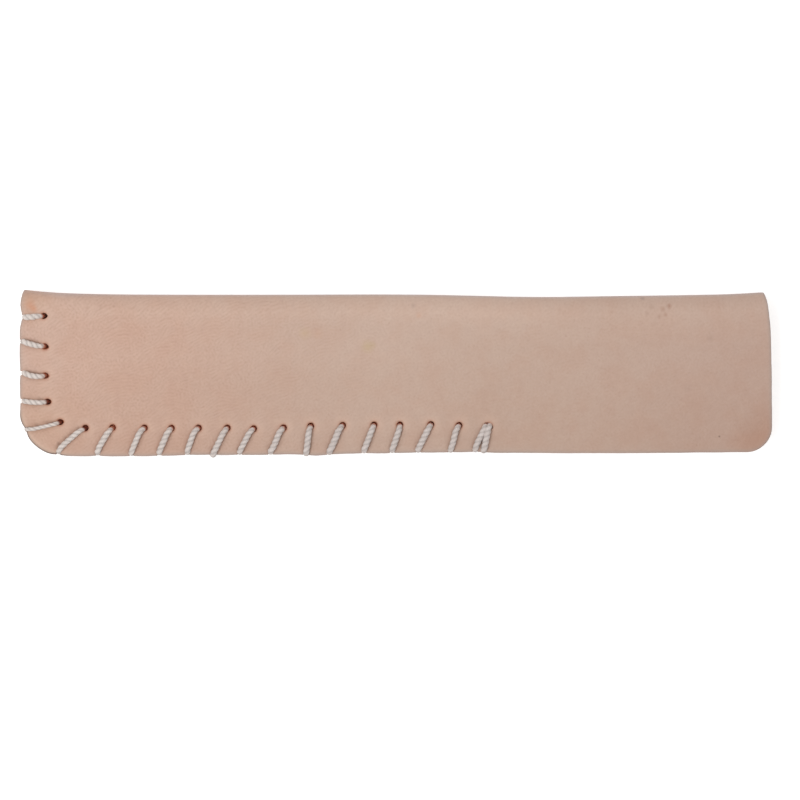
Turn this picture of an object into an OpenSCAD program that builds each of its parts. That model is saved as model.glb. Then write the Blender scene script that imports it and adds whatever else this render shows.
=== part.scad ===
// Pen sleeve. One piece of leather is folded along its length and whip-stitched with a white cord
// over the closed end, round the corner and along part of the long edge. It lies on its back
// panel, with the fold towards +Y and the open mouth towards +X. Sizes are in millimetres.

/* [Leather] */
// Length from the closed end to the mouth
sleeve_len = 171; // [150:1:200]
// Width from the fold to the long edge, at the closed end
closed_w = 38; // [36:0.5:44]
// How much narrower the sleeve is at the mouth
mouth_narrowing = 0.9; // [0:0.1:3]
// Thickness of the leather
leather_t = 1.8; // [1.5:0.1:2.2]
// Radius of the corner at the closed end
closed_corner_r = 9; // [6:0.5:10]
// Radius of the corner at the mouth
mouth_corner_r = 5.8; // [3:0.2:9]

/* [Fold] */
// Inner height of the rolled fold
bend_gap = 4.8; // [4.4:0.1:6]
// How far the fold line sinks below its flare at the closed end
closed_flare = 1.35; // [0:0.05:2]
// Length over which that flare dies out
closed_flare_len = 9; // [4:1:20]
// Height of the flare at the mouth
mouth_flare = 0.9; // [0:0.05:1.3]
// Length over which that flare dies out
mouth_flare_len = 10; // [4:1:20]
// Depth of the slack spot along the fold
slack_dip = 0.45; // [0:0.05:0.8]
// Distance of the slack spot from the closed end
slack_at = 116; // [60:1:140]
// Half length of the slack spot
slack_len = 10; // [5:1:20]
// How far the fold draws the closed end in
closed_inset = 1.2; // [0:0.1:2]
// How far the fold draws the mouth in
mouth_inset = 1.8; // [0:0.1:2.5]
// Distance from the fold at which the ends are straight again
inset_reach = 10; // [6:1:14]

/* [Seam] */
// Gap between the panels where the stitches hold them
seam_gap = 0.2; // [0.1:0.05:0.4]
// Gap between the panels along the open part of the long edge
edge_gape = 3.4; // [2.8:0.1:4]
// Width of the flat band that the stitches hold together
seam_margin = 9; // [8.6:0.1:11]
// Width of the slope from that band up to the open pocket
seam_slope = 14; // [10:1:18]
// Length past the last stitch over which the long edge opens
release_len = 12; // [8:1:20]

/* [Stitching] */
// Diameter of the cord
cord_d = 1.4; // [1:0.1:1.5]
// Diameter of a punched hole
hole_d = 2; // [1.8:0.1:2.4]
// Air between the cord and the leather
cord_clear = 0.15; // [0.1:0.01:0.2]
// Air between two passes of the cord in one hole
pass_gap = 0.45; // [0.42:0.01:0.6]
// Distance of the holes from the closed end
end_row_inset = 5.8; // [5:0.1:6.5]
// Distance of the holes from the long edge
edge_row_inset = 6.3; // [5:0.1:7]
// Distance of the lowest closed-end hole from the long edge
end_row_start = 12.2; // [11.6:0.1:14]
// Pitch of the holes along the closed end
end_pitch = 6.6; // [6:0.1:7]
// Distance of the first long-edge hole from the closed end
edge_row_start = 14.8; // [14.5:0.1:17]
// Pitch of the holes along the long edge
edge_pitch = 6.54; // [5.6:0.02:6.8]
// Lean of a long-edge stitch, from its hole back to the edge
edge_lean = 2.4; // [1.6:0.1:3]
// Free length of the cord between its last pass at either end and the knot there
tail_len = 14; // [13:0.5:17]

/* [Knots] */
// Radius of the ring that a knot's strands wind round
knot_ring_r = 2.2; // [2.15:0.05:2.6]
// Radius at which the strands wind round that ring
knot_wind_r = 0.98; // [0.97:0.01:1.1]
// Length of the trimmed end and of the straight piece that leads into a knot
knot_lead = 2; // [1.4:0.1:3]

/* [Hidden] */

leather_colour = [0.79, 0.67, 0.60];
cord_colour = [0.88, 0.86, 0.84];

half_len = sleeve_len / 2;
cord_r = cord_d / 2;
hole_r = hole_d / 2;
// A strand turns round a lip of leather at this radius
turn_r = cord_r + cord_clear;
turn_steps = 4;
tube_sides = 6;
// The stitched band is raised, so that the back strands clear what the sleeve lies on
stitch_lift = cord_d + cord_clear + 0.05;
// The panels part this far where the cord's ends run between them
tail_room = cord_d + 0.4;
bend_steps = 10;
hole_fn = 24;

// The hand-cut long edge moves in towards the mouth between these distances from the closed end
narrow_from = 25;
narrow_to = 115;

// How far each hand-punched hole lies from its even place: along its row, then inwards
end_drift = [[0, 0.4], [-0.5, 0], [-0.4, 0], [0, -0.4]];
edge_drift_x = [0, -0.3, 0.2, -0.1, -0.6, -0.5, -0.9, -0.8, -1.3, -0.5, 0.1, -0.5, 0, -0.1, 0];
edge_drift_in = [0, 0, 0, 0, 0, 0, -0.2, 0, 0.1, 0, 0, 0, 0.1, -0.1, 0];
// How far the lean of each long-edge stitch differs from edge_lean
lean_drift = [0, 0.8, 0.2, 0.1, -0.2, 0.6, 0.7, 0.3, -1.9, 0.4, -0.6, -1, 0.1, -0.7, 0.4];
// How far each closed-end stitch crosses the end above its hole
end_rise = [0.3, 0.8, 1.2, -0.4];
// The hole inside the corner, from the closed end and from the long edge
corner_hole = [9.1, 7.4];
// Where the two stitches round the corner cross its arc, in degrees
corner_crossings = [201, 266];
edge_holes = len(edge_drift_x);
end_holes = len(end_drift);

function clamp01(t) = max(0, min(1, t));
function ease(t) = let(u = clamp01(t)) u * u * (3 - 2 * u);
function mix(a, b, t) = a + (b - a) * t;
function unit(v) = v / norm(v);
function from_end(x) = x + half_len;

// Outline in plan

function long_edge_y(x) =
    mouth_narrowing * ease((from_end(x) - narrow_from) / (narrow_to - narrow_from)) - closed_w / 2;

function fold_line_y(x) =
    closed_w / 2
    - closed_flare * (1 - exp(-from_end(x) / closed_flare_len))
    + mouth_flare * exp((x - half_len) / mouth_flare_len)
    - slack_dip * exp(-pow((from_end(x) - slack_at) / slack_len, 2) / 2);

function corner_y(into, r) = r - sqrt(max(0, r * r - pow(r - into, 2)));

// The free edge of both panels, with the round corner at each end
function free_edge_y(x) =
    long_edge_y(x)
    + (from_end(x) < closed_corner_r ? corner_y(from_end(x), closed_corner_r) : 0)
    + (half_len - x < mouth_corner_r ? corner_y(half_len - x, mouth_corner_r) : 0);

// The fold draws both ends in, most at the fold line
function inset_share(x, y) = pow(clamp01((y - fold_line_y(x) + inset_reach) / inset_reach), 2);
function drawn_x(x, y) =
    x
    + closed_inset * inset_share(x, y) * clamp01(1 - from_end(x) / inset_reach)
    - mouth_inset * inset_share(x, y) * clamp01(1 - (half_len - x) / inset_reach);

// Holes and the points where the cord crosses the edge, in plan

function end_hole(i) = [
    end_row_inset + end_drift[i][1] - half_len,
    end_row_start + i * end_pitch + end_drift[i][0] - closed_w / 2
];
function edge_hole(i) =
    let(x = edge_row_start + i * edge_pitch + edge_drift_x[i] - half_len)
    [x, long_edge_y(x) + edge_row_inset + edge_drift_in[i]];

last_hole = edge_hole(edge_holes - 1);
last_lean = edge_lean + lean_drift[edge_holes - 1];
pass_step = cord_d + pass_gap;
// The doubled strands lean, so they lie further apart along the edge than across it
last_step = pass_step / cos(atan2(last_lean, edge_row_inset - cord_r));

// The holes in sewing order: up to down at the closed end, the corner, then along the long edge.
// The last hole takes two passes, side by side.
holes = concat(
    [for (i = [end_holes - 1:-1:0]) end_hole(i)],
    [[corner_hole[0] - half_len, corner_hole[1] - closed_w / 2]],
    [for (i = [0:edge_holes - 2]) edge_hole(i)],
    [last_hole - [last_step / 2, 0], last_hole + [last_step / 2, 0]]
);
stitches = len(holes);

corner_centre = [closed_corner_r - half_len, closed_corner_r - closed_w / 2];

// Each crossing is a point on the outline and the direction inwards from it
function end_crossing(i) =
    let(y = end_hole(i)[1] + end_rise[i])
    [[drawn_x(-half_len, y), y], [1, 0]];
function corner_crossing(i) =
    let(a = corner_crossings[i], out = [cos(a), sin(a)])
    [corner_centre + closed_corner_r * out, -out];
function edge_crossing(i) =
    let(x = edge_hole(i)[0] - edge_lean - lean_drift[i])
    [[x, long_edge_y(x)], [0, 1]];

last_x = last_hole[0] - last_lean;
crossings = concat(
    [for (i = [end_holes - 1:-1:0]) end_crossing(i)],
    [corner_crossing(0), corner_crossing(1)],
    [for (i = [1:edge_holes - 2]) edge_crossing(i)],
    [[[last_x, long_edge_y(last_x)], [0, 1]]],
    [[[last_x + last_step, long_edge_y(last_x)], [0, 1]]]
);
// The cord is flush with the outline where it passes over the edge
function edge_pass(i) = crossings[i][0] + cord_r * crossings[i][1];

// Heights of the panels

seam_end_x = last_hole[0] + last_step / 2 + hole_r;
relief_low = holes[2][1];
relief_high = holes[0][1] - hole_r - 0.2;
relief_from = edge_hole(edge_holes - 5)[0];
relief_to = last_hole[0] - last_step / 2 - hole_r;

// 1 in the flat band that the stitches hold, 0 in the open pocket
function end_hold(x) = 1 - ease((from_end(x) - seam_margin) / seam_slope);
function edge_hold(x, y) =
    (1 - ease((y - long_edge_y(x) - seam_margin) / seam_slope))
    * (1 - ease((x - seam_end_x) / release_len));
function held(x, y) = 1 - (1 - end_hold(x)) * (1 - edge_hold(x, y));

// 1 beside the first and the last hole, where the cord's ends run between the panels
function tail_relief(x, y) = max(
    ease((y - relief_low) / (relief_high - relief_low)),
    ease((x - relief_from) / (relief_to - relief_from))
);
function held_gap(x, y) = mix(seam_gap, tail_room, tail_relief(x, y));
function open_gap(x, y) =
    let(top = fold_line_y(x) - leather_t - bend_gap / 2)
    mix(bend_gap, edge_gape, clamp01((top - y) / (top - long_edge_y(x))));
function panel_gap(x, y) = mix(open_gap(x, y), held_gap(x, y), held(x, y));

function back_z(x, y) = stitch_lift * held(x, y);
function front_z(x, y) = back_z(x, y) + 2 * leather_t + panel_gap(x, y);

// The rolled fold is a half round between the two panels
function bend_r(x) = leather_t + panel_gap(x, fold_line_y(x)) / 2;
function bend_y(x) = fold_line_y(x) - bend_r(x);

// Leather

corner_steps = 6;
slope_steps = 4;
plain_steps = 5;
release_steps = 4;
reach_steps = 4;

// Distances from the closed end at which the cross-section is drawn
stations = concat(
    [for (k = [0:corner_steps]) closed_corner_r * (1 - cos(90 * k / corner_steps))],
    [for (k = [1:slope_steps])
        mix(max(seam_margin, closed_corner_r), seam_margin + seam_slope, k / slope_steps)],
    [for (k = [1:plain_steps]) mix(seam_margin + seam_slope, from_end(relief_from), k / plain_steps)],
    [for (k = [1:slope_steps]) mix(from_end(relief_from), from_end(relief_to), k / slope_steps)],
    [for (k = [0:release_steps]) from_end(seam_end_x) + release_len * k / release_steps],
    [for (k = [1:reach_steps])
        mix(from_end(seam_end_x) + release_len, sleeve_len - mouth_corner_r, k / reach_steps)],
    [for (k = [1:corner_steps]) sleeve_len - mouth_corner_r * (1 - sin(90 * k / corner_steps))]
);

// Heights above the long edge at which each panel has a point
line_rises = concat(
    [0, seam_margin / 2],
    [for (k = [0:slope_steps]) seam_margin + seam_slope * k / slope_steps]
);
upper_lines = 3;
panel_lines = len(line_rises) + upper_lines;
line_space = 0.3;

function line_y(x, k) =
    let(
        n = len(line_rises),
        below = long_edge_y(x) + line_rises[min(k, n - 1)],
        y = k < n ? below : mix(below, bend_y(x), (k - n + 1) / upper_lines)
    )
    max(y, free_edge_y(x) + k * line_space);

// One cross-section's outer line (depth 0) or inner line (depth leather_t): back panel, bend, front
function section_line(x, depth) =
    let(
        ys = [for (k = [0:panel_lines - 1]) line_y(x, k)],
        low = back_z(x, ys[panel_lines - 1]),
        high = front_z(x, ys[panel_lines - 1]),
        r = (high - low) / 2 - depth
    )
    concat(
        [for (y = ys) [y, back_z(x, y) + depth]],
        [for (k = [1:bend_steps - 1])
            let(a = 180 * k / bend_steps - 90)
            [ys[panel_lines - 1] + r * cos(a), (low + high) / 2 + r * sin(a)]],
        [for (k = [panel_lines - 1:-1:0]) [ys[k], front_z(x, ys[k]) - depth]]
    );

line_points = 2 * panel_lines + bend_steps - 1;

function section(x) =
    let(outer = section_line(x, 0), inner = section_line(x, leather_t))
    [for (p = concat(outer, [for (k = [line_points - 1:-1:0]) inner[k]]))
        [drawn_x(x, p[0]), p[0], p[1]]];

module folded_leather() {
    rows = [for (s = stations) section(s - half_len)];
    n = 2 * line_points;
    last = len(rows) - 1;
    sides = [for (i = [0:last - 1]) for (k = [0:n - 1])
        let(a = i * n + k, b = i * n + (k + 1) % n)
        each [[a, a + n, b + n], [a, b + n, b]]];
    ends = [for (k = [0:line_points - 2])
        let(a = k, b = k + 1, c = n - 2 - k, d = n - 1 - k, e = last * n)
        each [[a, b, c], [a, c, d], [e + c, e + b, e + a], [e + d, e + c, e + a]]];
    polyhedron(points = [for (row = rows) each row], faces = concat(sides, ends), convexity = 8);
}

// A punched hole, from a height up
module punch(at, r, from, height) {
    translate([at[0], at[1], from]) cylinder(h = height, r = r, $fn = hole_fn);
}

// A hole stretched from one pass of the cord to a second one beside it
module stretched_punch(a, b, r, from, height) {
    punch(a, r, from, height);
    punch(b, r, from, height);
    mid = (a + b) / 2;
    run = b - a;
    translate([mid[0], mid[1], from + height / 2])
        rotate([0, 0, atan2(run[1], run[0])])
            cube([norm(run), 1.8 * r, height], center = true);
}

total_h = 2 * leather_t + bend_gap;
through = total_h + 2;
// A level between the panels, beside the first and the last hole
between_z = stitch_lift + leather_t + tail_room / 2;

module leather_body() {
    color(leather_colour)
    difference() {
        folded_leather();
        for (i = [0:stitches - 3]) punch(holes[i], hole_r, -1, through);
        punch(holes[stitches - 2], hole_r, -1, through);
        stretched_punch(holes[stitches - 2], holes[stitches - 1], hole_r, between_z, through);
        stretched_punch(first_pass, holes[0], turn_r, -1, between_z + 1);
        for (i = [0:stitches - 3]) punch(edge_pass(i), turn_r, -1, through);
        stretched_punch(edge_pass(stitches - 2), edge_pass(stitches - 1), turn_r, -1, through);
    }
}

// Cord. A ring is its centre, the direction of travel and the direction away from the loop.

// A quarter turn round a lip at c, in the upright plane along d
function turn(c, d, from, to) = [
    for (k = [0:turn_steps])
    let(a = mix(from, to, k / turn_steps), s = sign(to - from), away = [cos(a) * d[0], cos(a) * d[1], sin(a)])
    [c + turn_r * away, s * [-sin(a) * d[0], -sin(a) * d[1], cos(a)], away]
];
function halfway(a, b) = [(a[0] + b[0]) / 2, unit(a[1] + b[1]), unit(a[2] + b[2])];
function xyz(p, z) = [p[0], p[1], z];

// The cord leans against the side of its hole that faces the edge
function strand_dir(i) = unit(holes[i] - edge_pass(i));
function hole_pass(i) = holes[i] - (hole_r - turn_r) * strand_dir(i);

function front_strand(i) =
    let(
        d = strand_dir(i),
        e = edge_pass(i),
        v = hole_pass(i),
        over_edge = turn(xyz(e + turn_r * d, front_z(e[0], e[1])), d, 180, 90),
        into_hole = turn(xyz(v - turn_r * d, front_z(v[0], v[1])), d, 90, 0)
    )
    concat(over_edge, [halfway(over_edge[turn_steps], into_hole[0])], into_hole);

// From a pass through the back panel to the next crossing of the edge
function back_strand(v, e) =
    let(
        d = unit(e - v),
        out_of_hole = turn(xyz(v + turn_r * d, back_z(v[0], v[1])), d, 180, 270),
        round_edge = turn(xyz(e - turn_r * d, back_z(e[0], e[1])), d, 270, 360)
    )
    concat(out_of_hole, [halfway(out_of_hole[turn_steps], round_edge[0])], round_edge);

// Puts a ring halfway along each upright pass between two strands
function joined(a, b) = concat(a, [halfway(a[len(a) - 1], b[0])], b);

// The first pass, through the back panel only, lies beside the first hole. Its strand leans down
// by this angle, in degrees.
start_lean = 33;
first_step = pass_step / cos(start_lean);
first_pass = hole_pass(0) + [0, first_step];
last_pass = hole_pass(stitches - 1);
start_tail_dir = unit([11, -5]);
end_tail_dir = [1, 0];
start_inner_z = back_z(first_pass[0], first_pass[1]) + leather_t;
end_inner_z = front_z(last_pass[0], last_pass[1]) - leather_t;
// How far the cord's ends rise on the way to their knots, which lie clear of both panels
start_tail_rise = 0.65;
end_tail_rise = 0.25;

// The ends of the cord, where its knots begin
start_end = xyz(first_pass + tail_len * start_tail_dir, start_inner_z + turn_r + start_tail_rise);
end_end = xyz(last_pass + tail_len * end_tail_dir, end_inner_z - turn_r + end_tail_rise);

function level_ring(p, d, up) = [p, xyz(d, 0), [0, 0, up]];

start_rings = concat(
    [level_ring(start_end, -start_tail_dir, 1)],
    turn(xyz(first_pass + turn_r * start_tail_dir, start_inner_z), -start_tail_dir, 90, 0)
);
end_rings = concat(
    turn(xyz(last_pass + turn_r * end_tail_dir, end_inner_z), end_tail_dir, 180, 270),
    [level_ring(end_end, end_tail_dir, -1)]
);

function stitch(i) =
    i == stitches - 1
    ? joined(front_strand(i), end_rings)
    : concat(
        joined(front_strand(i), back_strand(hole_pass(i), edge_pass(i + 1))),
        [halfway(
            back_strand(hole_pass(i), edge_pass(i + 1))[2 * turn_steps + 2],
            front_strand(i + 1)[0]
        )]
    );

cord_rings = concat(
    joined(start_rings, back_strand(first_pass, edge_pass(0))),
    [for (i = [0:stitches - 1]) each stitch(i)]
);

function ring_points(ring, r) = [
    for (k = [0:tube_sides - 1])
    let(a = 360 * k / tube_sides, away = unit(ring[2]), side = unit(cross(ring[1], ring[2])))
    ring[0] + r * (cos(a) * away + sin(a) * side)
];

// One closed tube along a list of rings
module tube(rings, r) {
    n = tube_sides;
    last = (len(rings) - 1) * n;
    walls = [for (i = [0:len(rings) - 2]) for (k = [0:n - 1])
        let(a = i * n + k, b = i * n + (k + 1) % n)
        each [[a, a + n, b + n], [a, b + n, b]]];
    caps = [for (k = [1:n - 2]) each [[0, k, k + 1], [last, last + k + 1, last + k]]];
    polyhedron(
        points = [for (ring = rings) each ring_points(ring, r)],
        faces = concat(walls, caps),
        convexity = 10
    );
}

// Least gap of a tube to itself, between points at least apart steps from each other
function close_points(rings) = [
    for (i = [0:len(rings) - 2])
    let(a = rings[i][0], b = rings[i + 1][0], n = ceil(norm(b - a)))
    for (k = [0:n - 1]) mix(a, b, k / n)
];
function least_gap(rings, apart) =
    let(p = close_points(rings))
    min([for (i = [0:len(p) - 1 - apart]) for (j = [i + apart:len(p) - 1]) norm(p[i] - p[j])]) - cord_d;

module stitching_cord() {
    echo(cord_least_gap_mm = least_gap(cord_rings, 14));
    color(cord_colour) tube(cord_rings, cord_r);
}

// Knots: a simple overhand knot, whose strands wind three times round a ring while going round twice

knot_steps = 36;
knot_from = 30;

function knot_ring(t) =
    let(
        out = [cos(2 * t), sin(2 * t), 0],
        along = [-sin(2 * t), cos(2 * t), 0],
        far = knot_ring_r + knot_wind_r * cos(3 * t),
        away = cos(3 * t) * out + [0, 0, sin(3 * t)]
    )
    [
        far * out + [0, 0, knot_wind_r * sin(3 * t)],
        unit(2 * far * along - 3 * knot_wind_r * sin(3 * t) * out + [0, 0, 3 * knot_wind_r * cos(3 * t)]),
        away
    ];

knot_in = knot_ring(knot_from)[0];
knot_out = knot_ring(360 - knot_from)[0];
knot_rings = concat(
    [[knot_in + [knot_lead, 0, 0], [-1, 0, 0], [0, 0, 1]]],
    [for (k = [0:knot_steps]) knot_ring(mix(knot_from, 360 - knot_from, k / knot_steps))],
    [[knot_out + [knot_lead, 0, 0], [1, 0, 0], [0, 0, -1]]]
);

// A knot whose leading end meets the cord's end, which points along dir
module knot_at(cord_end, dir) {
    echo(knot_least_gap_mm = least_gap(knot_rings, 8));
    color(cord_colour)
    translate(cord_end)
        rotate([0, 0, atan2(dir[1], dir[0]) + 180])
            translate(-knot_rings[0][0])
                tube(knot_rings, cord_r);
}

module start_knot() {
    knot_at(start_end, start_tail_dir);
}

module end_knot() {
    knot_at(end_end, end_tail_dir);
}

leather_body();
stitching_cord();
start_knot();
end_knot();
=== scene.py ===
import math

import bpy
import numpy as np
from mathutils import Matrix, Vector
from mathutils.geometry import delaunay_2d_cdt


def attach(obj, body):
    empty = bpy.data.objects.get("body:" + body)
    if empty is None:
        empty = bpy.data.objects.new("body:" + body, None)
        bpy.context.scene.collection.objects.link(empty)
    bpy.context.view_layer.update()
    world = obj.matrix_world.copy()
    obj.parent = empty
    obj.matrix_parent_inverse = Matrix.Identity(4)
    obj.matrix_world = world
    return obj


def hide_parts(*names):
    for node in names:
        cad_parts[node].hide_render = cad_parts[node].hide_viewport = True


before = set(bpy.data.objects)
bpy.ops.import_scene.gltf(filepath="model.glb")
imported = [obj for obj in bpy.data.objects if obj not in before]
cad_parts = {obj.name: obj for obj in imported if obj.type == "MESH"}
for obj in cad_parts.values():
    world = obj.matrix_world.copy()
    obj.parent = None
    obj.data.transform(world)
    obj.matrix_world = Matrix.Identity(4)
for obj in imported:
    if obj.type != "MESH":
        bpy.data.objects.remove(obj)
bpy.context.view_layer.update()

MM = 0.001

# Sizes of the sleeve, in millimetres
HALF_LENGTH = 85.5
CLOSED_WIDTH = 38.0
LEATHER = 1.8  # its thickness
CLOSED_CORNER = 10.1  # the radii of the two round corners
MOUTH_CORNER = 5.8
BEND_GAP = 4.8  # between the panels at the fold
EDGE_GAPE = 3.4  # between the panels at the open long edge
SEAM_GAP = 0.2  # between the panels in the stitched band
SEAM_MARGIN = 9.0  # the band's width
SEAM_SLOPE = 14.0  # the width over which the panels part beside the band
RELEASE = 12.0  # the length over which they part past its end
SEAM_LIFT = 1.6  # the band's height above the table
TAIL_ROOM = 1.8  # between the panels where the cord's tails lie
SEAM_END = 22.9  # the band's right end
CORD_R = 0.7  # its radius
LAY = 2.36  # the length of one turn of the cord's plies
PIERCED_R = 0.84  # the holes of the front panel, round which a highlight and warm shade are painted
BACK_HOLE_R = 0.60
PRESS_FRONT = 0.30  # how deep the strands press into each panel
PRESS_BACK = 0.10
PRESS_REACH = 0.85

# Each stitch: the hole it goes down through, the cord's outermost point where it comes over the edge,
# how far it draws the edge in beside it, how far it is tucked to the near side of its hole, how far it
# lies to the right of the straight line near the edge and near the hole, and its share of the thickness
STITCHES = [
    ((-80.05, 12.9), (-84.9, 12.6), 0.55, 0.48, 0.08, 0.0, 1.0),
    ((-79.75, 6.05), (-85.4, 7.15), 0.05, 0.50, 0.24, 0.3, 0.92),
    ((-79.75, -0.65), (-85.2, -0.05), 0.10, 0.36, 0.45, 0.42, 0.93),
    ((-79.2, -6.6), (-85.3, -6.45), 0.12, 0.50, 0.2, 0.26, 0.84),
    ((-76.35, -11.25), (-84.6, -13.15), 0.42, 0.46, 0.3, 0.2, 0.63),
    ((-70.6, -12.6), (-76.8, -18.6), 0.25, 0.58, -0.38, -0.38, 0.88),
    ((-64.4, -12.5), (-67.85, -18.85), 0.2, 0.46, -0.28, -0.31, 0.97),
    ((-57.15, -12.6), (-60.15, -18.95), 0.1, 0.19, -0.2, -0.46, 0.93),
    ((-51, -12.65), (-53.8, -18.82), 0.05, 0.19, -0.12, -0.32, 0.98),
    ((-44.85, -12.6), (-47.4, -18.75), 0.08, 0.19, -0.24, -0.48, 0.95),
    ((-38.3, -12.6), (-41.6, -19.35), 0.05, 0.19, -0.06, -0.24, 0.97),
    ((-32.3, -12.75), (-35.5, -18.7), 0.06, 0.19, -0.14, -0.33, 0.94),
    ((-25.5, -12.55), (-28.5, -18.65), 0.06, 0.19, 0.08, -0.28, 1.0),
    ((-19.3, -12.15), (-20.35, -19), 0.05, 0.19, -0.04, -0.2, 1.03),
    ((-12.05, -12), (-15.1, -18.7), 0.06, 0.19, 0.0, -0.26, 1.07),
    ((-4.9, -11.9), (-7.2, -18.35), 0.06, 0.19, 0.0, -0.04, 1.0),
    ((1, -11.9), (-0.8, -18.28), 0.06, 0.19, 0.06, 0.12, 1.0),
    ((8.05, -11.8), (5.1, -18.18), 0.06, 0.15, -0.04, -0.1, 1.02),
    ((14.45, -12), (12.5, -18.2), 0.06, 0.15, -0.02, -0.3, 0.99),
    ((20.4, -12.1), (18.05, -18.1), 0.06, -0.12, -0.12, 0.0, 0.99),
    ((21.5, -12), (20, -18.28), 0.02, -0.12, -0.02, -0.24, 1.08),
]
# The last two stitches share one hole
HOLES = [stitch[0] for stitch in STITCHES[:-2]] + [(21.1, -12.05)]
# Where the cord first goes out through the back panel, and where its ends meet their knots
FIRST_PASS = (-80.3, 14.9)
START_TAIL = (-67.5, 9.4, 4.9)
END_TAIL = (35.85, -11.97, 4.6)

# The long cut edge as it really runs
LONG_EDGE = [
    (-95.0, -19.00), (-76.0, -19.00), (-66.0, -19.07), (-57.0, -19.00), (-49.0, -18.80), (-43.0, -18.68),
    (-36.0, -18.72), (-29.5, -18.70), (-24.0, -18.58), (-20.3, -18.76), (-18.8, -18.84), (-17.0, -18.80),
    (-12.5, -18.51), (-7.0, -18.37), (-3.0, -18.36), (1.5, -18.25), (4.0, -18.23), (11.0, -18.15),
    (18.0, -18.08), (24.0, -18.22), (31.0, -18.22), (40.0, -18.30), (54.0, -18.25), (64.0, -18.20),
    (70.0, -18.11), (78.0, -18.07), (95.0, -18.07),
]


def ease(t):
    t = np.clip(t, 0, 1)
    return t * t * (3 - 2 * t)


def mix(a, b, t):
    return a + (b - a) * t


def smooth_path(points, step=0.12):
    """A centripetal Catmull-Rom curve through the points, at even short steps. Further values ride along."""
    p = np.array(points, float)
    p = np.concatenate([[2 * p[0] - p[1]], p, [2 * p[-1] - p[-2]]])
    out = []
    for i in range(1, len(p) - 2):
        p0, p1, p2, p3 = p[i - 1:i + 3]
        gaps = [np.linalg.norm((b - a)[:3]) for a, b in ((p0, p1), (p1, p2), (p2, p3))]
        t = np.cumsum([0] + [math.sqrt(gap) + 1e-9 for gap in gaps])
        n = max(2, int(gaps[1] / step))
        s = np.linspace(t[1], t[2], n, endpoint=False)[:, None]
        a1 = (t[1] - s) / (t[1] - t[0]) * p0 + (s - t[0]) / (t[1] - t[0]) * p1
        a2 = (t[2] - s) / (t[2] - t[1]) * p1 + (s - t[1]) / (t[2] - t[1]) * p2
        a3 = (t[3] - s) / (t[3] - t[2]) * p2 + (s - t[2]) / (t[3] - t[2]) * p3
        b1 = (t[2] - s) / (t[2] - t[0]) * a1 + (s - t[0]) / (t[2] - t[0]) * a2
        b2 = (t[3] - s) / (t[3] - t[1]) * a2 + (s - t[1]) / (t[3] - t[1]) * a3
        out.append((t[2] - s) / (t[2] - t[1]) * b1 + (s - t[1]) / (t[2] - t[1]) * b2)
    out.append(p[-2][None])
    return np.concatenate(out)


EDGE_RUN = smooth_path(LONG_EDGE, 0.5)


def long_edge(x):
    return np.interp(x, EDGE_RUN[:, 0], EDGE_RUN[:, 1])


def fold_line(x):
    """The fold's outermost y: it falls away from the closed end, flares at the mouth and waves between them."""
    s = x + HALF_LENGTH
    return (
        CLOSED_WIDTH / 2
        - 1.25 * (1 - np.exp(-s / 9))
        + 0.8 * np.exp((x - HALF_LENGTH) / 10)
        + 0.09 * np.exp(-(((s - 84) / 14) ** 2) / 2)
        - 0.50 * np.exp(-(((s - 119) / 13) ** 2) / 2)
        - 0.15 * ease((x - 38) / 22)
    )


def end_inset(x, y):
    """How far the two ends are drawn in beside the fold."""
    down = np.maximum(fold_line(x) - y, 0)
    closed = 0.62 * np.exp(-down / 3.5) + 0.85 * np.exp(-down / 0.8)
    mouth = 1.62 * np.exp(-down / 6.5) + 0.55 * np.exp(-down / 0.9)
    near_closed = np.clip(1 - (x + HALF_LENGTH) / 10, 0, 1)
    near_mouth = np.clip(1 - (HALF_LENGTH - x) / 12, 0, 1)
    return closed * near_closed - mouth * near_mouth


def held(x, y):
    """1 in the stitched band, 0 where the panels lie free."""
    end = 1 - ease((x + HALF_LENGTH - SEAM_MARGIN) / SEAM_SLOPE)
    edge = (1 - ease((y - long_edge(x) - SEAM_MARGIN) / SEAM_SLOPE)) * (1 - ease((x - SEAM_END) / RELEASE))
    return 1 - (1 - end) * (1 - edge)


def panel_gap(x, y):
    """Height of the pocket. In the band it is nothing but the room for the cord's tails."""
    relief = np.maximum(ease((y + 0.7) / 12.5), ease((x + 5.2) / 24))
    closed = mix(SEAM_GAP, TAIL_ROOM, relief)
    top = fold_line(x) - LEATHER - BEND_GAP / 2
    opened = mix(BEND_GAP, EDGE_GAPE, np.clip((top - y) / (top - long_edge(x)), 0, 1))
    return mix(opened, closed, held(x, y))


def back_height(x, y):
    return SEAM_LIFT * held(x, y)


def front_height(x, y):
    return back_height(x, y) + 2 * LEATHER + panel_gap(x, y)


def bend(x):
    """Radius of the fold's middle line, and the y where both panels begin."""
    r = LEATHER / 2 + panel_gap(x, fold_line(x)) / 2
    return r, fold_line(x) - LEATHER / 2 - r


def across(x, y):
    """Distance from the fold's middle line to a point of a panel, over the leather's surface."""
    r, start = bend(x)
    return r * math.pi / 2 + start - y


def across_at(x, y):
    return float(across(np.array([x]), np.array([y]))[0])


def middle(x, v):
    """The leather's middle surface. v runs over the fold from the back panel to the front one."""
    r, start = bend(x)
    turn = r * math.pi / 2
    y = start - np.maximum(np.abs(v) - turn, 0)
    low = back_height(x, y) + LEATHER / 2
    high = front_height(x, y) - LEATHER / 2
    a = np.clip(v / turn, -1, 1) * math.pi / 2
    z = mix(low, high, (np.sin(a) + 1) / 2)
    y = y + (high - low) / 2 * np.cos(a) * (np.abs(v) < turn)
    return np.stack([x + end_inset(x, y), y, z], -1)


def normal(x, v):
    step = 0.02
    du = middle(x + step, v) - middle(x - step, v)
    dv = middle(x, v + step) - middle(x, v - step)
    n = -np.cross(du, dv)
    return n / np.linalg.norm(n, axis=-1, keepdims=True)


# The leather

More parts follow.
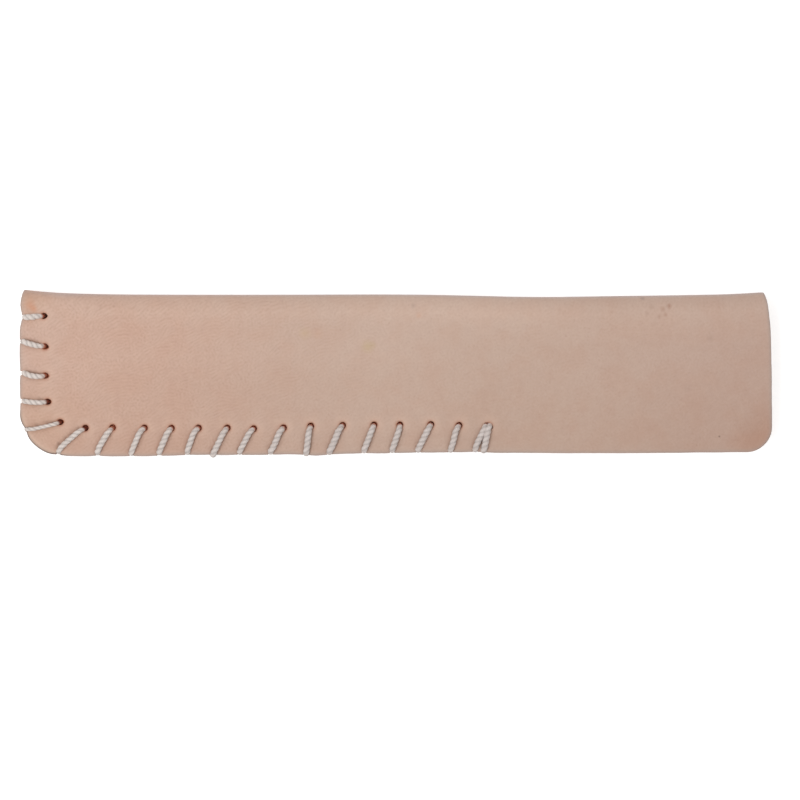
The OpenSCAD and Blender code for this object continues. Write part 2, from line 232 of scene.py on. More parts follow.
def segment_distance(p, a, b):
    a, b = np.array(a), np.array(b)
    t = np.clip(((p - a) @ (b - a)) / ((b - a) @ (b - a)), 0, 1)
    return np.linalg.norm(p - (a + t[:, None] * (b - a)), axis=1)


# Left of this x a stitch comes over the closed end
CLOSED_END_STITCHES = -83


def inward(x, y):
    """Direction into the panel at an edge point."""
    if x < CLOSED_CORNER - HALF_LENGTH and y < CLOSED_CORNER - CLOSED_WIDTH / 2:
        centre = np.array([CLOSED_CORNER - HALF_LENGTH, CLOSED_CORNER - CLOSED_WIDTH / 2])
        d = centre - np.array([x, y])
        return d / np.linalg.norm(d)
    return np.array([1.0, 0.0]) if x < CLOSED_END_STITCHES else np.array([0.0, 1.0])


def strand_line(hole, edge):
    """In plan: where a strand turns over the edge, its length to the hole, its direction and its right side."""
    hole, edge = np.array(hole), np.array(edge)
    turn_at = edge + CORD_R * inward(*edge)
    run = np.linalg.norm(hole - turn_at)
    d = (hole - turn_at) / run
    return turn_at, run, d, np.array([d[1], -d[0]])


def front_strands():
    """Plan of the strands over the front panel, each in three straight pieces."""
    pieces = []
    for hole, edge, _, _, low, high, _ in STITCHES:
        turn_at, run, d, side = strand_line(hole, edge)
        near_edge = turn_at + 0.3 * run * d + low * side
        near_hole = turn_at + 0.7 * run * d + high * side
        stops = [turn_at, near_edge, near_hole, np.array(hole)]
        pieces += list(zip(stops, stops[1:]))
    return pieces


def back_strands():
    """Plan of the strands under the back panel: from each hole to the next edge crossing."""
    runs = [(FIRST_PASS, STITCHES[0][1])]
    return runs + [(a[0], b[1]) for a, b in zip(STITCHES, STITCHES[1:])]


# The notch under a strand: its depth, half width and reach; the wider draw beside it: half width and reach
NOTCH = (1.12, 0.40, 1.9)
DRAW = (1.6, 2.2)


def pulled_in(plan):
    """How far the stitches pull the edge in, in plan: a notch under each strand, and a wider draw."""
    shift = np.zeros_like(plan)
    for _, edge, drawn, *_ in STITCHES:
        d = inward(*edge)
        side = np.array([-d[1], d[0]])
        rel = plan - np.array(edge)
        t, n = rel @ side, np.maximum(rel @ d, 0)
        near = (NOTCH[0] - drawn) * np.exp(-((t / NOTCH[1]) ** 6)) * np.exp(-((n / NOTCH[2]) ** 2))
        wide = drawn * np.exp(-((t / DRAW[0]) ** 2)) * np.exp(-n / DRAW[1])
        shift += (near + wide)[:, None] * d
    return shift


def pressed(plan, front):
    """How deep the strands press into the outer face."""
    depth = np.zeros(len(plan))
    most = PRESS_FRONT if front else PRESS_BACK
    for a, b in front_strands() if front else back_strands():
        depth = np.maximum(depth, most * np.exp(-((segment_distance(plan, a, b) / PRESS_REACH) ** 2)))
    return depth


# The painted shadow beside a strand: how far from its middle, and its half width
LEE_ASIDE = 0.78
LEE_WIDTH = 0.30


def lee_side(plan):
    """A painted shadow line along each front strand, on the side turned from the window lamp."""
    best = np.zeros(len(plan))
    for hole, edge, _, tuck, low, high, thick in STITCHES[:-2]:
        turn_at, _, d, side = strand_line(hole, edge)
        aside = -side if d[0] > 0.6 else side
        gap = aside * LEE_ASIDE * thick
        start = turn_at + low * side + gap
        end = np.array(hole) - (0.5 + tuck) * d + high * side + gap
        best = np.maximum(best, np.exp(-((segment_distance(plan, start, end) / LEE_WIDTH) ** 2)))
    return best


def around_holes(plan):
    """Distance from the nearest hole's wall."""
    best = np.full(len(plan), 99.0)
    for h in HOLES:
        best = np.minimum(best, np.linalg.norm(plan - np.array(h), axis=1) - PIERCED_R)
    return best


# Above this y the panel's ends run straight up to the fold
OUTLINE_TOP = 13.4
# Spacing of the outline's points: at the closed end, beside a stitch and elsewhere
END_SPACING = 0.18
STITCH_SPACING = 0.16
OPEN_SPACING = 0.5
STITCH_ZONE = 1.3
# Points across the fold at each end
FOLD_POINTS = 61


def panel_outline():
    """The cut outline in the flat, as (x, v), once round."""
    front = []
    corner = np.radians(np.linspace(180, 270, 90))
    cx, cy = CLOSED_CORNER - HALF_LENGTH, long_edge(-HALF_LENGTH) + CLOSED_CORNER
    for y in np.arange(OUTLINE_TOP, cy, -END_SPACING):
        front.append((-HALF_LENGTH, y))
    front += [(cx + CLOSED_CORNER * math.cos(a), cy + CLOSED_CORNER * math.sin(a)) for a in corner]
    x = cx + 0.25
    while x < HALF_LENGTH - MOUTH_CORNER - 0.1:
        front.append((x, float(long_edge(x))))
        beside = min(abs(x - stitch[1][0]) for stitch in STITCHES) < STITCH_ZONE
        x += STITCH_SPACING if beside else OPEN_SPACING
    corner = np.radians(np.linspace(270, 360, 24))
    mx, my = HALF_LENGTH - MOUTH_CORNER, long_edge(HALF_LENGTH) + MOUTH_CORNER
    front += [(mx + MOUTH_CORNER * math.cos(a), my + MOUTH_CORNER * math.sin(a)) for a in corner]
    for y in np.arange(my + 0.4, OUTLINE_TOP, OPEN_SPACING):
        front.append((HALF_LENGTH, y))
    front = np.array(front)
    v = across(front[:, 0], front[:, 1])
    half = np.stack([front[:, 0], v], 1)
    other = half[::-1] * [1, -1]
    over_mouth = np.linspace(half[-1, 1], -half[-1, 1], FOLD_POINTS)[1:-1]
    over_closed = np.linspace(-half[0, 1], half[0, 1], FOLD_POINTS)[1:-1]
    right = np.stack([np.full(len(over_mouth), HALF_LENGTH), over_mouth], 1)
    left = np.stack([np.full(len(over_closed), -HALF_LENGTH), over_closed], 1)
    return np.concatenate([half, right, other, left])


# A front hole's half length past its middle and before it, and its half width: at the closed end,
# along the edge, and where two stitches share one
END_HOLE = (0.92, 0.70, 0.66)
EDGE_HOLE = (0.77, 0.70, 0.71)
SHARED_HOLE = (0.58, 0.70, 1.02)
# How much narrower an end hole is at its tip
END_TAPER = 0.35


def hole_outline(k, side, sides=36):
    """A hole of the flat leather. The strand draws the front ones long and a little pointed."""
    last = len(HOLES) - 1
    centre = np.array(HOLES[k])
    a = np.linspace(0, 2 * math.pi, sides, endpoint=False)
    c, n = np.cos(a), np.sin(a)
    d = centre - np.array(STITCHES[k][1])
    d /= np.linalg.norm(d)
    if side < 0:
        along, across_r = BACK_HOLE_R * c, BACK_HOLE_R * n
        if k == 0:
            d = np.array(FIRST_PASS) - centre
            along += (c > 0) * np.linalg.norm(d)
            d /= np.linalg.norm(d)
        elif k == last:
            d, along = np.array([1.0, 0.0]), along * 1.5
    else:
        at_end = k != last and d[0] > 0.8
        past, before, wide = SHARED_HOLE if k == last else END_HOLE if at_end else EDGE_HOLE
        along, across_r = np.where(c > 0, past, before) * c, wide * n
        if at_end:
            across_r = across_r * (1 - END_TAPER * np.maximum(c, 0) ** 2)
    plan = centre + along[:, None] * d + across_r[:, None] * np.array([-d[1], d[0]])
    return np.stack([plan[:, 0], side * across(plan[:, 0], plan[:, 1])], 1)


def loop_normals(loop):
    d = np.roll(loop, -1, 0) - np.roll(loop, 1, 0)
    n = np.stack([d[:, 1], -d[:, 0]], 1)
    return n / np.linalg.norm(n, axis=1, keepdims=True)


def inside(points, loop):
    x, y = points[:, 0][:, None], points[:, 1][:, None]
    x0, y0 = loop[:, 0], loop[:, 1]
    x1, y1 = np.roll(x0, -1), np.roll(y0, -1)
    crosses = ((y0 > y) != (y1 > y)) & (x < (x1 - x0) * (y - y0) / (y1 - y0 + 1e-12) + x0)
    return crosses.sum(1) % 2 == 1


# Width of the rounded rim along the cuts and round the holes
RIM = 0.3
HOLE_RIM = 0.18
# The cut edge's profile: how far out of the flat surface's rim, and how deep
EDGE_PROFILE = [
    (0.12, 0.02), (0.22, 0.10), (0.28, 0.24), (0.30, 0.50), (0.30, 0.90),
    (0.30, 1.30), (0.28, 1.56), (0.22, 1.70), (0.12, 1.78),
]
# Spacing of the points over the panels and over the fold, and the v where the panels and the grid end
PANEL_STEP = 0.8
FOLD_STEP = 0.42
FOLD_END = 6
GRID_END = 42
# A face smaller than this is a sliver
SLIVER = 1e-3
# The cut edge wavers by this much, smoothed over so many points
WAVER = 0.06
WAVER_POINTS = 9


def cut_leather():
    """The cut leather in the flat: places, depths, faces and the loops of its cuts."""
    outline = panel_outline()
    holes = []
    for side in (1, -1):
        holes += [hole_outline(k, side) for k in range(len(HOLES))]
    out_n = loop_normals(outline)
    if inside(outline[:1] + 0.01 * out_n[:1], outline)[0]:
        out_n = -out_n
    loops = [(outline, out_n, outline - RIM * out_n)]
    for h in holes:
        n = loop_normals(h)
        c = h.mean(0)
        n *= np.sign(((c - h) * n).sum(1))[:, None]
        loops.append((h, n, h - HOLE_RIM * n))

    # Points of the flat surface: a grid, with rings round the holes and a row along the outline
    xs = np.arange(-HALF_LENGTH, HALF_LENGTH + PANEL_STEP, PANEL_STEP)
    vs = np.concatenate([
        np.arange(-GRID_END, -FOLD_END, PANEL_STEP),
        np.arange(-FOLD_END, FOLD_END, FOLD_STEP),
        np.arange(FOLD_END, GRID_END + 0.5, PANEL_STEP),
    ])
    gx, gv = np.meshgrid(xs, vs)
    gx = gx + 0.5 * PANEL_STEP * (np.arange(len(vs)) % 2)[:, None]
    grid = np.stack([gx.ravel(), gv.ravel()], 1)
    keep = inside(grid, outline - 1.05 * out_n)
    extra = [outline - 0.85 * out_n]
    for h, n, rim in loops[1:]:
        c = h.mean(0)
        reach = np.linalg.norm(h - c, axis=1).max()
        keep &= np.linalg.norm(grid - c, axis=1) > reach + 1.35
        extra += [rim - 0.3 * n, rim - 0.7 * n]
    points = [rim for _, _, rim in loops] + extra + [grid[keep]]
    counts = np.cumsum([0] + [len(p) for p in points])
    flat = np.concatenate(points)
    edges = []
    for k in range(len(loops)):
        n = counts[k + 1] - counts[k]
        edges += [(int(counts[k] + i), int(counts[k] + (i + 1) % n)) for i in range(n)]
    made = delaunay_2d_cdt([Vector(p) for p in flat.tolist()], edges, [], 0, 1e-5)
    where = np.array([list(p) for p in made[0]])
    faces = np.array([list(f) for f in made[2]])
    source = made[3]
    index = {}
    for new, olds in enumerate(source):
        for old in olds:
            index[old] = new
    mid = where[faces].mean(1)
    ok = inside(mid, loops[0][2])
    for h, _, rim in loops[1:]:
        near = np.linalg.norm(mid - h.mean(0), axis=1) < 4
        hit = np.zeros(len(mid), bool)
        hit[near] = inside(mid[near], rim)
        ok &= ~hit
    turn = np.cross(where[faces[:, 1]] - where[faces[:, 0]], where[faces[:, 2]] - where[faces[:, 0]])
    ok &= np.abs(turn) > SLIVER
    faces, turn = faces[ok], turn[ok]
    faces[turn < 0] = faces[turn < 0][:, ::-1]

    flats, depths, polys = [where, where], [np.zeros(len(where)), np.full(len(where), LEATHER)], []
    n0 = len(where)
    # the flat's (x, v) plane is mirrored by the fold's own normal, so the outer face turns round
    polys += [tuple(int(i) for i in f[::-1]) for f in faces]
    polys += [tuple(int(i) + n0 for i in f) for f in faces]
    total = 2 * n0
    draws = np.random.default_rng(7).normal(size=len(outline) + WAVER_POINTS - 1)
    waver = WAVER * np.convolve(draws, np.ones(WAVER_POINTS) / WAVER_POINTS, "valid")
    for k, (_, n, rim) in enumerate(loops):
        m = len(rim)
        top = [index[int(counts[k] + i)] for i in range(m)]
        rows = [top]
        for out, depth in EDGE_PROFILE:
            flats.append(rim + (out + waver)[:, None] * n if k == 0 else rim + out * HOLE_RIM / RIM * n)
            depths.append(np.full(m, depth))
            rows.append(list(range(total, total + m)))
            total += m
        rows.append([i + n0 for i in top])
        area = ((rim[:, 0] * np.roll(rim[:, 1], -1)) - (np.roll(rim[:, 0], -1) * rim[:, 1])).sum()
        # material lies left of a counter-clockwise outline, and right of a counter-clockwise hole
        flip = (area > 0) != (k == 0)
        for a, b in zip(rows, rows[1:]):
            for i in range(m):
                j = (i + 1) % m
                quad = (a[i], b[i], b[j], a[j])
                polys.append(quad if flip else quad[::-1])
    return np.concatenate(flats), np.concatenate(depths), polys, loops


def bump_heights(x, y):
    """Slow unevenness of the open front panel."""
    return (
        0.07 * np.sin(0.083 * x + 0.8) * np.sin(0.13 * y + 0.4)
        + 0.02 * np.sin(0.21 * x - 0.17 * y)
        + 0.012 * np.sin(0.37 * x + 0.29 * y + 2)
    )


# How far the surface sinks beside a hole and along a cut, and over what distance
SINK = 0.10
SINK_REACH = 0.45
# Points measured at once, to save memory
BLOCK = 4000


def build_leather():
    flat, depth, polys, loops = cut_leather()
    x, v = flat[:, 0], flat[:, 1]
    base, n = middle(x, v), normal(x, v)
    plan = base[:, :2].copy()
    front = v > 0
    outer = 1 - depth / LEATHER
    on_panel = np.clip((np.abs(v) - 6) / 3, 0, 1)
    press = np.where(front, pressed(plan, True), pressed(plan, False))
    wall = around_holes(plan)
    dimple = SINK * np.exp(-((np.maximum(wall, 0) / SINK_REACH) ** 1.5))
    cut = np.full(len(x), 99.0)
    outline = loops[0][0]
    for start in range(0, len(x), BLOCK):
        block = flat[start:start + BLOCK]
        cut[start:start + BLOCK] = np.sqrt(((block[:, None] - outline[None]) ** 2).sum(-1).min(1))
    soft = SINK * np.exp(-cut / SINK_REACH)
    lift = (LEATHER / 2 - depth) - outer * (press + dimple + soft) * on_panel
    lift -= outer * soft * (1 - on_panel)
    place = base + n * lift[:, None]
    wave = bump_heights(place[:, 0], place[:, 1]) * (1 - held(x, plan[:, 1])) * on_panel
    place[:, 2] += np.where(front, wave, 0.0)
    place[:, :2] += pulled_in(plan) * (np.abs(v) > 4)[:, None]

    mesh = bpy.data.meshes.new("leather_body_cut")
    mesh.from_pydata((place * MM).tolist(), [], polys)
    for name, values in (
        ("cut_edge", np.exp(-np.maximum(cut - 0.3, 0) / 0.55)),
        ("hole_edge", np.exp(-np.maximum(wall, 0) / 0.5)),
        ("rim", np.clip((RIM + 0.10 - cut) / 0.20, 0, 1)),
        ("pressing", press / PRESS_FRONT),
        ("lee_shadow", lee_side(plan) * front * on_panel),
        ("flesh", np.clip((depth - 0.25) / 0.35, 0, 1)),
    ):
        mesh.attributes.new(name, "FLOAT", "POINT").data.foreach_set("value", values.astype(np.float32))
    flat_mm = np.stack([x, v, depth], 1).astype(np.float32)
    mesh.attributes.new("flat_mm", "FLOAT_VECTOR", "POINT").data.foreach_set("vector", flat_mm.ravel())
    mesh.shade_smooth()
    mesh.update()
    obj = bpy.data.objects.new("leather_body_hide", mesh)
    bpy.context.scene.collection.objects.link(obj)
    return obj


# The cord

def heights(x, y):
    x, y = np.array([x]), np.array([y])
    return float(back_height(x, y)[0]), float(front_height(x, y)[0])


# A lane's points are x, y, z and the cord's share of its thickness there

def lane_under(hole, edge):
    """One strand under the back panel, from the middle of the edge to the middle of the hole."""
    turn_at, run, d, _ = strand_line(hole, edge)
    low, high = heights(*turn_at)
    low_h = heights(*hole)[0]
    hole = np.array(hole)
    return [
        (*turn_at, mix(low, high, 0.25), 1.0),
        (*(turn_at + 0.06 * d), low + 0.25, 1.0),
        (*(turn_at + 0.50 * d), low - 0.50, 1.0),
        (*(turn_at + 1.30 * d), low - 0.63, 1.0),
        (*(turn_at + 0.5 * run * d), (low + low_h) / 2 - 0.67, 1.0),
        (*(hole - 1.50 * d), low_h - 0.63, 1.0),
        (*(hole - 0.62 * d), low_h - 0.20, 1.0),
        (*(hole - 0.16 * d), low_h + 0.45, 1.0),
        (*(hole + 0.02 * d), low_h + 1.45, 1.0),
    ]


def lane_over(hole, edge, tuck, low_drift, high_drift, thick):
    """One strand over the front panel, from the middle of the edge to the middle of the hole."""
    turn_at, run, d, side = strand_line(hole, edge)
    low, high = heights(*turn_at)
    high_h = heights(*hole)[1]
    hole = np.array(hole)
    slim = math.sqrt(min(thick, 1.0)) * (0.92 if tuck > 0.3 else 1.0)
    drift = (low_drift + high_drift) / 2
    return [
        (*turn_at, mix(low, high, 0.75), thick),
        (*(turn_at + 0.06 * d), high - 0.25, thick),
        (*(turn_at + 0.50 * d + 0.3 * low_drift * side), high + 0.30, thick),
        (*(turn_at + 1.30 * d + 0.8 * low_drift * side), high + 0.43, 1.02 * thick),
        (*(turn_at + 0.5 * run * d + drift * side), (high + high_h) / 2 + 0.47, 1.02 * thick),
        (*(hole - (1.40 + tuck) * d + high_drift * side), high_h + 0.42, thick),
        (*(hole - (0.66 + tuck) * d + 0.75 * high_drift * side), high_h + 0.22, 0.92 * slim),
        (*(hole - (0.20 + tuck) * d + 0.45 * high_drift * side), high_h - 0.32, 0.92 * slim),
        (*(hole - (0.05 + tuck) * d + 0.20 * high_drift * side), high_h - 1.25, 1.0),
    ]


def cord_route():
    """The whole sewn cord: x, y, z, its share of the thickness and how far it is sunk in a hole."""
    fx, fy = FIRST_PASS
    pts = [
        (*START_TAIL, 1.0), (-71.4, 11.1, 4.66, 1.0), (-75.3, 12.8, 4.42, 1.0),
        (-78.6, 14.2, 4.25, 1.0), (fx + 0.4, fy - 0.1, 3.9, 1.0),
    ]
    start = FIRST_PASS
    for hole, edge, _, *rest in STITCHES:
        pts += lane_under(start, edge)[::-1]
        pts += lane_over(hole, edge, *rest)
        start = hole
    hx, hy = start
    pts += [
        (hx + 0.15, hy, 5.35, 1.0), (hx + 1.1, hy - 0.03, 4.55, 1.0), (hx + 4.0, hy - 0.1, 4.4, 1.0),
        (hx + 9.0, hy - 0.1, 4.5, 1.0), (*END_TAIL, 1.0),
    ]
    route = smooth_path(pts)
    x, y, z = route[:, :3].T
    aside = np.min([np.hypot(x - hx, y - hy) for hx, hy in HOLES], axis=0)
    below = np.clip((front_height(x, y) - z - 0.15) / 0.5, 0, 1)
    sunk = below * np.clip((z - back_height(x, y)) / 0.5, 0, 1)
    return np.column_stack([route, sunk * (aside < 1.3)])


# The knot: its mean radius, how far it winds in and out, and the length of its two ends
KNOT_R = 2.2
KNOT_WAVE = 0.98
KNOT_LEAD = 2.0


def knot_route(end, heading):
    """A loose overhand knot whose leading piece meets the cord's end."""
    t = np.radians(np.linspace(30, 330, 220))
    far = KNOT_R + KNOT_WAVE * np.cos(3 * t)
    p = np.stack([far * np.cos(2 * t), far * np.sin(2 * t), KNOT_WAVE * np.sin(3 * t)], 1)
    lead = np.array([KNOT_LEAD, 0, 0])
    p = np.concatenate([[p[0] + lead], p, [p[-1] + lead]]) - (p[0] + lead)
    a = math.atan2(heading[1], heading[0]) + math.pi
    turn = np.array([[math.cos(a), -math.sin(a), 0], [math.sin(a), math.cos(a), 0], [0, 0, 1]])
    p = p @ turn.T + np.array(end)
    return np.column_stack([p, np.ones(len(p)), np.zeros(len(p))])


def node(tree, kind, inputs=(), **settings):
    """A new node. A socket given as an input is linked, a value is set on the input itself."""
    made = tree.nodes.new(kind)
    for k, value in settings.items():
        setattr(made, k, value)
    for k, value in (inputs.items() if isinstance(inputs, dict) else enumerate(inputs)):
        if value is None:
            continue
        if isinstance(value, bpy.types.NodeSocket):
            tree.links.new(value, made.inputs[k])
        else:
            made.inputs[k].default_value = value
    return made


def math_node(tree, operation, *values):
    return node(tree, "ShaderNodeMath", values, operation=operation).outputs[0]


def times(tree, a, b):
    return math_node(tree, "MULTIPLY", a, b)


def new_group(name, kind, inputs, outputs):
    """A node group with named inputs, each with its type and default, and named outputs."""
    tree = bpy.data.node_groups.new(name, kind)
    for label, socket, value in inputs:
        made = tree.interface.new_socket(label, in_out="INPUT", socket_type="NodeSocket" + socket)
        if value is not None:
            made.default_value = value
    for label, socket in outputs:
        tree.interface.new_socket(label, in_out="OUTPUT", socket_type="NodeSocket" + socket)
    return tree, tree.nodes.new("NodeGroupInput").outputs, tree.nodes.new("NodeGroupOutput").inputs


def stored(tree, geometry, name, value, vector=False):
    """The geometry with a value kept under a name at each of its points."""
    kind, socket = ("FLOAT_VECTOR", "VECTOR") if vector else ("FLOAT", "VALUE")
    inputs = {"Geometry": geometry, "Name": name}
    made = node(tree, "GeometryNodeStoreNamedAttribute", inputs, data_type=kind, domain="POINT")
    tree.links.new(value, next(s for s in made.inputs if s.name == "Value" and s.type == socket))
    return made.outputs["Geometry"]


GROOVE = 0.14  # how deep the valley between the plies is, as a share of the radius
LOBE_POWER = 0.95  # under 1 it narrows the valley
CORD_STEP = 0.13
CORD_SIDES = 24


def twisted_cord_tree(material):
    """Sweeps a two-lobed section along a curve and twists it, as two plies laid together."""
    tree, given, result = new_group(
        "Twisted cord", "GeometryNodeTree",
        (
            ("Route", "Geometry", None), ("Radius", "Float", CORD_R * MM), ("Lay", "Float", LAY * MM),
            ("Groove", "Float", GROOVE), ("Step", "Float", CORD_STEP * MM), ("Sides", "Int", CORD_SIDES),
        ),
        (("Cord", "Geometry"),),
    )
    spacing = {"Curve": given["Route"], "Length": given["Step"]}
    even = node(tree, "GeometryNodeResampleCurve", spacing, mode="LENGTH")
    along = node(tree, "GeometryNodeSplineParameter").outputs["Length"]
    marked = stored(tree, even.outputs["Curve"], "along_mm", times(tree, along, 1 / MM))
    # the tilt brings the depth in a hole, until the twist takes its place
    marked = stored(tree, marked, "sunk", node(tree, "GeometryNodeInputCurveTilt").outputs[0])
    tilt = times(tree, math_node(tree, "DIVIDE", along, given["Lay"]), 2 * math.pi)
    laid = node(tree, "GeometryNodeSetCurveTilt", {"Curve": marked, "Tilt": tilt})

    circle = {"Resolution": given["Sides"], "Radius": given["Radius"]}
    ring = node(tree, "GeometryNodeCurvePrimitiveCircle", circle)
    part = node(tree, "GeometryNodeSplineParameter").outputs["Factor"]
    lobe = math_node(tree, "ABSOLUTE", math_node(tree, "COSINE", times(tree, part, 2 * math.pi)))
    valley = math_node(tree, "SUBTRACT", 1.0, math_node(tree, "POWER", lobe, LOBE_POWER))
    shrink = math_node(tree, "SUBTRACT", 1.0, times(tree, valley, given["Groove"]))
    where = node(tree, "GeometryNodeInputPosition").outputs[0]
    around = node(tree, "ShaderNodeVectorMath", [where], operation="NORMALIZE").outputs[0]
    section = stored(tree, ring.outputs["Curve"], "around", around, vector=True)
    section = stored(tree, section, "groove", valley)
    drawn_in = node(tree, "ShaderNodeVectorMath", {0: where, "Scale": shrink}, operation="SCALE").outputs[0]
    lobed = node(tree, "GeometryNodeSetPosition", {"Geometry": section, "Position": drawn_in})

    swept = node(tree, "GeometryNodeCurveToMesh", {
        "Curve": laid.outputs["Curve"],
        "Profile Curve": lobed.outputs["Geometry"],
        "Scale": node(tree, "GeometryNodeInputRadius").outputs[0],
        "Fill Caps": True,
    })
    smooth = node(tree, "GeometryNodeSetShadeSmooth", {"Geometry": swept.outputs["Mesh"]})
    real = node(tree, "GeometryNodeRealizeInstances", {"Geometry": smooth.outputs["Geometry"]})
    dressed = node(tree, "GeometryNodeSetMaterial", {"Geometry": real.outputs["Geometry"], "Material": material})
    tree.links.new(dressed.outputs["Geometry"], result["Cord"])
    return tree


def twisted_piece(name, route, tree):
    """A cord piece along a route in millimetres, as a plain mesh."""
    curve = bpy.data.curves.new(name + "_route", "CURVE")
    curve.dimensions = "3D"
    curve.twist_mode = "MINIMUM"
    line = curve.splines.new("POLY")
    line.points.add(len(route) - 1)
    flat = np.concatenate([route[:, :3] * MM, np.ones((len(route), 1))], 1)
    line.points.foreach_set("co", flat.ravel())
    line.points.foreach_set("radius", route[:, 3].copy())
    # the tilt carries how far the cord is sunk in a hole
    line.points.foreach_set("tilt", route[:, 4].copy())
    guide = bpy.data.objects.new(name + "_guide", curve)
    bpy.context.scene.collection.objects.link(guide)
    modifier = guide.modifiers.new("Twist", "NODES")
    modifier.node_group = tree
    sockets = {s.name: s.identifier for s in tree.interface.items_tree if s.in_out == "INPUT"}
    modifier[sockets["Lay"]] = LAY * MM
    bpy.context.view_layer.update()
    shaped = guide.evaluated_get(bpy.context.evaluated_depsgraph_get())
    mesh = bpy.data.meshes.new_from_object(shaped)
    mesh.name = name
    bpy.data.objects.remove(guide)
    piece = bpy.data.objects.new(name, mesh)
    bpy.context.scene.collection.objects.link(piece)
    return piece


# Materials

def new_material(name):
    material = bpy.data.materials.new(name)
    material.use_nodes = True
    tree = material.node_tree
    return material, tree, tree.nodes["Principled BSDF"]


def colour(r, g, b):
    """A colour given as 8-bit display values."""
    def linear(c):
        c /= 255
        return c / 12.92 if c <= 0.04045 else ((c + 0.055) / 1.055) ** 2.4
    return (linear(r), linear(g), linear(b), 1.0)


def attribute(tree, name, vector=False):
    made = node(tree, "ShaderNodeAttribute", attribute_name=name)
    return made.outputs["Vector" if vector else "Fac"]


def noise(tree, where, scale, detail=2.0, rough=0.5):
    inputs = {"Vector": where, "Scale": scale, "Detail": detail, "Roughness": rough}
    return node(tree, "ShaderNodeTexNoise", inputs).outputs["Fac"]


def ramp(tree, value, low, high, out_low=0.0, out_high=1.0):
    """A value carried from low and high to out_low and out_high, and held beyond them."""
    inputs = {"Value": value, "From Min": low, "From Max": high, "To Min": out_low, "To Max": out_high}
    return node(tree, "ShaderNodeMapRange", inputs).outputs[0]


def weighed(tree, *parts):
    """The sum of values, each by its share."""
    total = None
    for value, share in parts:
        part = times(tree, value, share)
        total = part if total is None else math_node(tree, "ADD", total, part)
    return total


def mixed(tree, share, a, b):
    return node(tree, "ShaderNodeMix", {0: share, 2: a, 3: b}, data_type="FLOAT").outputs[0]


def blend(tree, share, a, b, mode="MIX"):
    """Colour b over colour a, by a share."""
    return node(tree, "ShaderNodeMix", {0: share, 6: a, 7: b}, data_type="RGBA", blend_type=mode).outputs[2]


def dimmed(tree, tone, *tint):
    return blend(tree, 1.0, tone, colour(*tint), "MULTIPLY")


def distance_to(tree, where, point):
    return node(tree, "ShaderNodeVectorMath", [where, point], operation="DISTANCE").outputs["Value"]


def spot(tree, where, x, y, radius, edge):
    """1 inside a round spot of the leather, given in plan, fading over its edge."""
    return ramp(tree, distance_to(tree, where, (x, across_at(x, y), 0)), radius + edge, radius - edge)


def bump(tree, height, strength, distance):
    inputs = {"Height": height, "Strength": strength, "Distance": distance}
    return node(tree, "ShaderNodeBump", inputs).outputs[0]


def gabor(tree, where, scale, frequency, anisotropy, turn=None):
    """Even-spaced wrinkles; a high anisotropy lays them all square to the given turn."""
    # input 4 is the turn in the plane, which shares its name with the one in space
    inputs = {"Vector": where, "Scale": scale, "Frequency": frequency, "Anisotropy": anisotropy, 4: turn}
    return node(tree, "ShaderNodeTexGabor", inputs).outputs["Value"]


def hide_grain_group():
    """Fine pebbled grain with soft diagonal growth lines. Height lies about 0.5; the others are masks."""
    tree, given, result = new_group(
        "Hide grain", "ShaderNodeTree",
        (("Place", "Vector", None), ("Lines", "Float", 0.5)),
        (("Height", "Float"), ("Crease shade", "Float"), ("Pores", "Float")),
    )
    place = given["Place"]
    pebble = gabor(tree, place, 0.8, 1.5, 0.0)
    wander = ramp(tree, noise(tree, place, 0.17, 1.0), 0.25, 0.75, math.radians(40), math.radians(92))
    lines = gabor(tree, place, 0.62, 2.15, 0.88, wander)
    share = times(tree, ramp(tree, noise(tree, place, 0.16, 2.0), 0.36, 0.58), given["Lines"])
    both = mixed(tree, share, pebble, lines)
    fuzz = noise(tree, place, 2.4, 3.0, 0.65)
    crease_shade = ramp(tree, weighed(tree, (both, 0.62), (fuzz, 0.38)), 0.57, 0.33)
    pores = ramp(tree, noise(tree, place, 1.15, 0.0), 0.75, 0.82)
    tree.links.new(weighed(tree, (both, 0.8), (fuzz, 0.2)), result["Height"])
    tree.links.new(crease_shade, result["Crease shade"])
    tree.links.new(pores, result["Pores"])
    return tree


def mottle_group():
    """Two colours clouded into each other at three scales."""
    tree, given, result = new_group(
        "Mottle", "ShaderNodeTree",
        (("Place", "Vector", None), ("Light", "Color", None), ("Dark", "Color", None), ("Amount", "Float", 0.5)),
        (("Color", "Color"),),
    )
    broad = noise(tree, given["Place"], 0.035, 3.0, 0.5)
    medium = noise(tree, given["Place"], 0.24, 3.0, 0.85)
    fine = noise(tree, given["Place"], 1.1, 4.0, 0.65)
    total = weighed(tree, (broad, 0.38), (medium, 0.30), (fine, 0.32))
    share = times(tree, ramp(tree, total, 0.36, 0.64), given["Amount"])
    tree.links.new(blend(tree, share, given["Light"], given["Dark"]), result["Color"])
    return tree


def fibre_group():
    """Fine matted fibres that run one way."""
    tree, given, result = new_group(
        "Fibres", "ShaderNodeTree",
        (("Place", "Vector", None), ("Stretch", "Vector", (1, 6, 6))),
        (("Fibres", "Float"),),
    )
    laid = node(tree, "ShaderNodeMapping", {"Vector": given["Place"], "Scale": given["Stretch"]}).outputs[0]
    tree.links.new(noise(tree, laid, 1.0, 5.0, 0.65), result["Fibres"])
    return tree


def use_group(tree, group, **inputs):
    return node(tree, "ShaderNodeGroup", inputs, node_tree=group).outputs


def shade_along(tree, value, stops):
    """Colours along a value from 0 to 1."""
    made = node(tree, "ShaderNodeValToRGB", [value])
    made.color_ramp.interpolation = "EASE"
    elements = made.color_ramp.elements
    while len(elements) < len(stops):
        elements.new(0.5)
    for element, (place, _) in zip(elements, stops):
        element.position = place
    for element, (_, tint) in zip(elements, stops):
        element.color = colour(*tint)
    return made.outputs["Color"]


